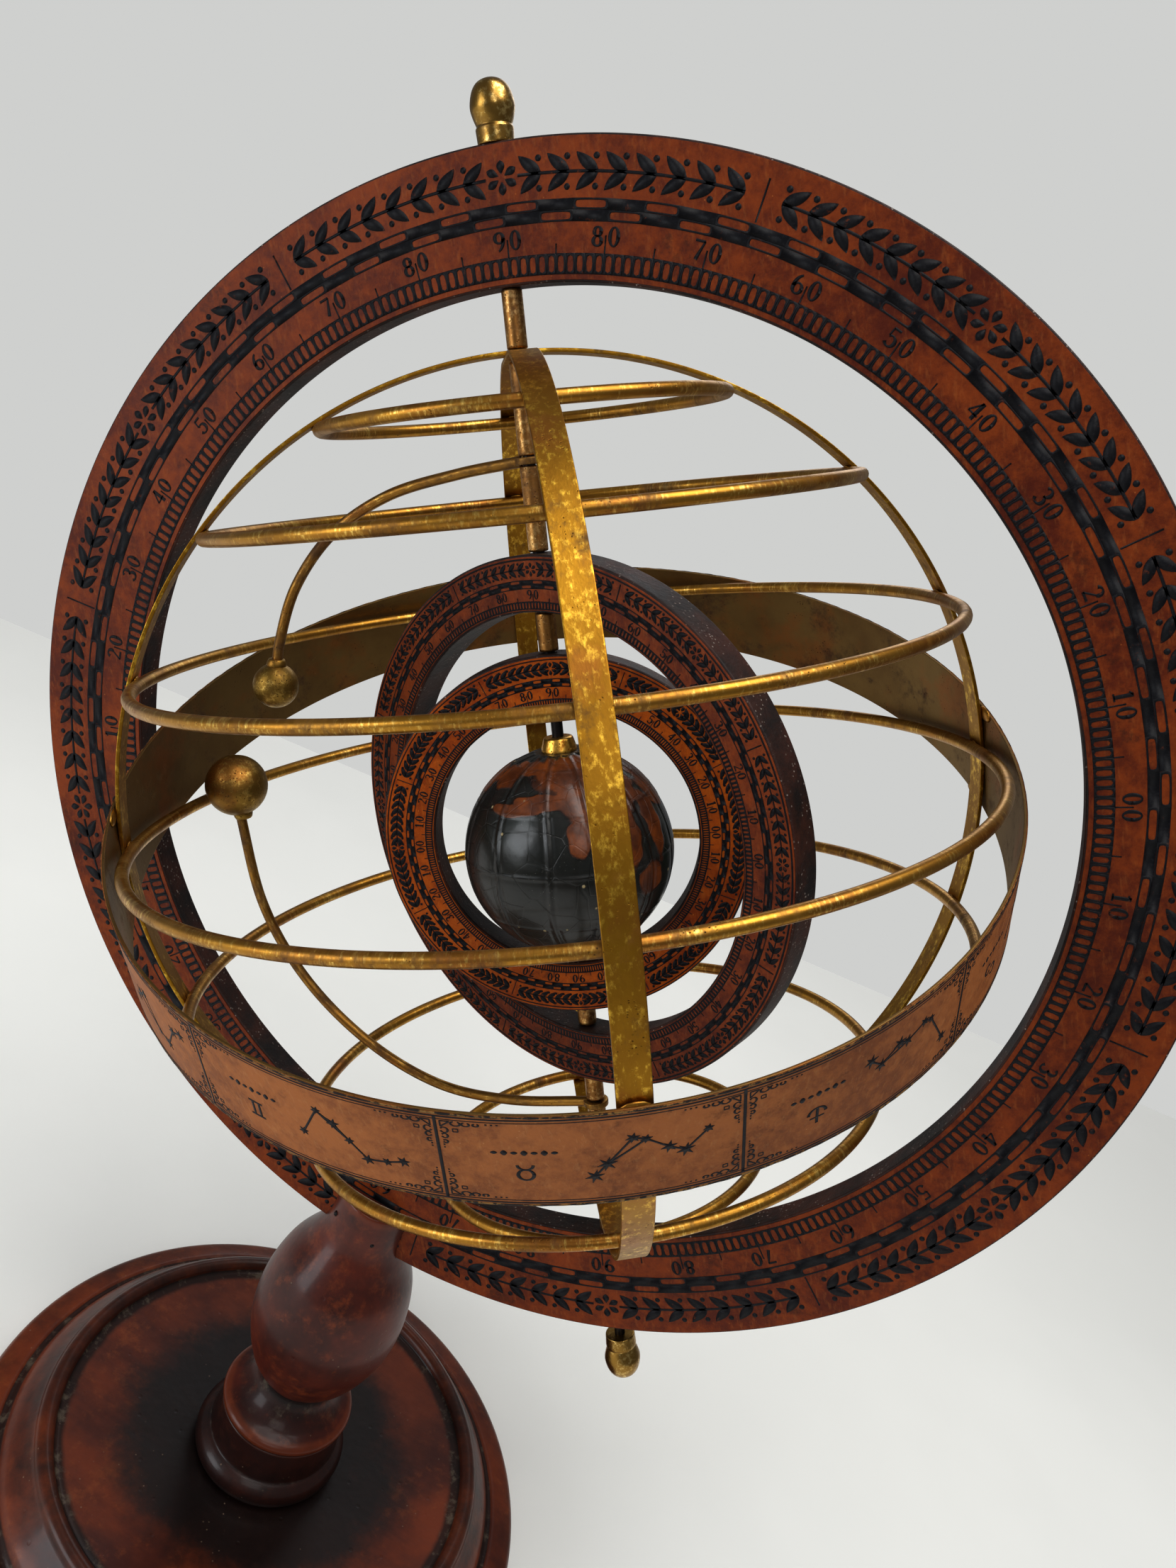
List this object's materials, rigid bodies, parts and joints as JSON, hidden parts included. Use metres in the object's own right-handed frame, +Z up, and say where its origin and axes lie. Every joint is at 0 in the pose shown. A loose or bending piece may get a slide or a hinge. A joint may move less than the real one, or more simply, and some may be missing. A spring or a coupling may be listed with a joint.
{
  "type": "armillary sphere",
  "caption": "Tabletop armillary sphere: a wooden scale ring on a turned stand, holding a brass cage, two planet arms, inner rings and a globe on one tilted axle.",
  "frame": {"origin": "centre of the underside of the stand, on the stem's axis", "axes": "+Z up; the great ring stands in the XZ plane; the axle leans 30.3 degrees from the vertical with its north end towards -X; +Y points away from the viewer"},
  "size_m": [0.29, 0.2052, 0.403],
  "materials": {
    "turned_wood": "dark mahogany stain under a worn shellac gloss",
    "ring_wood": "near-black stained edge, satin",
    "printed_paper": "aged orange-brown printed paper, glued down and varnished",
    "brass": "aged brass with worn bright spots and brown patina",
    "dark_steel": "darkened steel",
    "globe_varnish": "near-black green varnished paper gores with red-brown land",
    "felt": "dark green felt"
  },
  "bodies": {
    "stand": {"felt_pad": "felt", "base_foot": "turned_wood", "base_screw": "dark_steel", "base_washer": "dark_steel", "stem_foot": "turned_wood", "stem_baluster": "turned_wood", "ring_pins": "dark_steel", "great_ring": "ring_wood", "great_scale_front": "printed_paper", "great_scale_back": "printed_paper", "axle_rod": "dark_steel", "north_finial": "brass", "south_finial": "brass", "tube_north_outer": "brass", "tube_north_upper": "brass", "tube_north_lower": "brass", "tube_north_inner": "brass", "tube_south_inner": "brass", "tube_south_upper": "brass", "tube_south_lower": "brass", "tube_south_outer": "brass"},
    "cage": {"hoop_side": "brass", "hoop_front": "brass", "parallel_north_high": "brass", "parallel_north_mid": "brass", "parallel_north_low": "brass", "parallel_equator": "brass", "parallel_south_low": "brass", "parallel_south_mid": "brass", "parallel_south_high": "brass", "zodiac_band": "brass", "zodiac_paper": "printed_paper"},
    "moon": {"moon_arm": "brass", "moon_ball": "brass"},
    "sun": {"sun_arm": "brass", "sun_ball": "brass"},
    "medium_hoop": {"medium_ring": "ring_wood", "medium_scale_front": "printed_paper", "medium_scale_back": "printed_paper"},
    "small_hoop": {"small_ring": "ring_wood", "small_scale_front": "printed_paper", "small_scale_back": "printed_paper"},
    "earth": {"earth_globe": "globe_varnish", "globe_cap_north": "brass", "globe_cap_south": "brass"}
  },
  "joints": [
    {"name": "cage_spin", "type": "hinge", "parent": "stand", "child": "cage", "pos_m": [0, 0, 0.258], "axis": [-0.5045, 0, 0.8634], "continuous": true},
    {"name": "moon_orbit", "type": "hinge", "parent": "stand", "child": "moon", "pos_m": [0, 0, 0.258], "axis": [-0.5045, 0, 0.8634], "continuous": true},
    {"name": "sun_orbit", "type": "hinge", "parent": "stand", "child": "sun", "pos_m": [0, 0, 0.258], "axis": [-0.5045, 0, 0.8634], "continuous": true},
    {"name": "medium_ring_spin", "type": "hinge", "parent": "stand", "child": "medium_hoop", "pos_m": [0, 0, 0.258], "axis": [-0.5045, 0, 0.8634], "continuous": true},
    {"name": "small_ring_spin", "type": "hinge", "parent": "stand", "child": "small_hoop", "pos_m": [0, 0, 0.258], "axis": [-0.5045, 0, 0.8634], "continuous": true},
    {"name": "earth_spin", "type": "hinge", "parent": "stand", "child": "earth", "pos_m": [0, 0, 0.258], "axis": [-0.5045, 0, 0.8634], "continuous": true}
  ]
}
